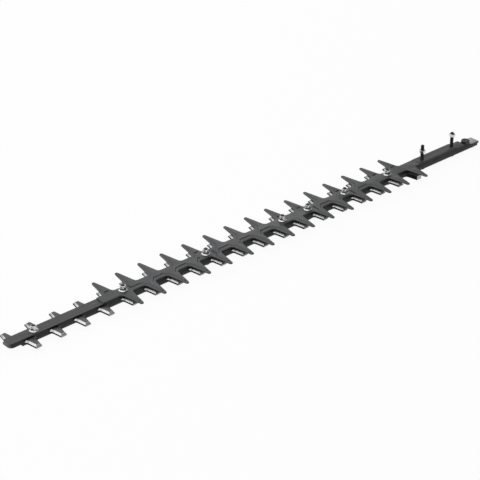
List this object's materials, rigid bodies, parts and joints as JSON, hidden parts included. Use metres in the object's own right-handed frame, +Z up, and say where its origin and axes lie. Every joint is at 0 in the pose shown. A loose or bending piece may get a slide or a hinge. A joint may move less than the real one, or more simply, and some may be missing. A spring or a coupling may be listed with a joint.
{
  "type": "hedge trimmer blade",
  "caption": "Double-sided hedge trimmer cutter bar: two toothed blades sliding under a flat guide bar, with a finger guard, guide bolts, drive pins and mounting screws.",
  "frame": {"origin": "under the middle of the bar's length and width, on the plane the bolt heads lie on", "axes": "+X along the bar from the cutting tip to the drive end, +Y across to the far side, +Z up from the bolt heads to the nuts"},
  "size_m": [0.821, 0.0788, 0.037],
  "materials": {
    "bar_steel": "dark satin blackened steel",
    "guard_steel": "dark satin blackened steel",
    "blade_steel": "blackened steel with bright ground bevels",
    "pin_steel": "turned steel, slightly browned",
    "bolt_steel": "black oxide steel",
    "zinc_steel": "bright zinc plated steel",
    "bush_steel": "turned steel"
  },
  "bodies": {
    "guide_bar": {"guide_bar": "bar_steel", "finger_guard": "guard_steel", "tip_bolt": "bolt_steel", "guide_bolts": "bolt_steel", "flange_nuts": "zinc_steel", "mounting_screws": "bolt_steel", "mounting_nuts": "zinc_steel", "bolt_washers": "zinc_steel", "guide_bush_1": "bush_steel", "guide_bush_2": "bush_steel", "guide_bush_3": "bush_steel", "guide_bush_4": "bush_steel", "guide_bush_5": "bush_steel", "guide_bush_6": "bush_steel", "guide_bush_7": "bush_steel", "mounting_bush_1": "bush_steel", "mounting_bush_2": "bush_steel"},
    "upper_blade": {"upper_blade": "blade_steel", "upper_drive_pin": "pin_steel"},
    "lower_blade": {"lower_blade": "blade_steel", "lower_drive_pin": "pin_steel"}
  },
  "joints": [
    {"name": "upper_blade_slide", "type": "slide", "parent": "guide_bar", "child": "upper_blade", "axis": [1, 0, 0], "range_m": [-0.0015, 0.0165]},
    {"name": "lower_blade_slide", "type": "slide", "parent": "guide_bar", "child": "lower_blade", "axis": [1, 0, 0], "range_m": [-0.0015, 0.0165]}
  ]
}
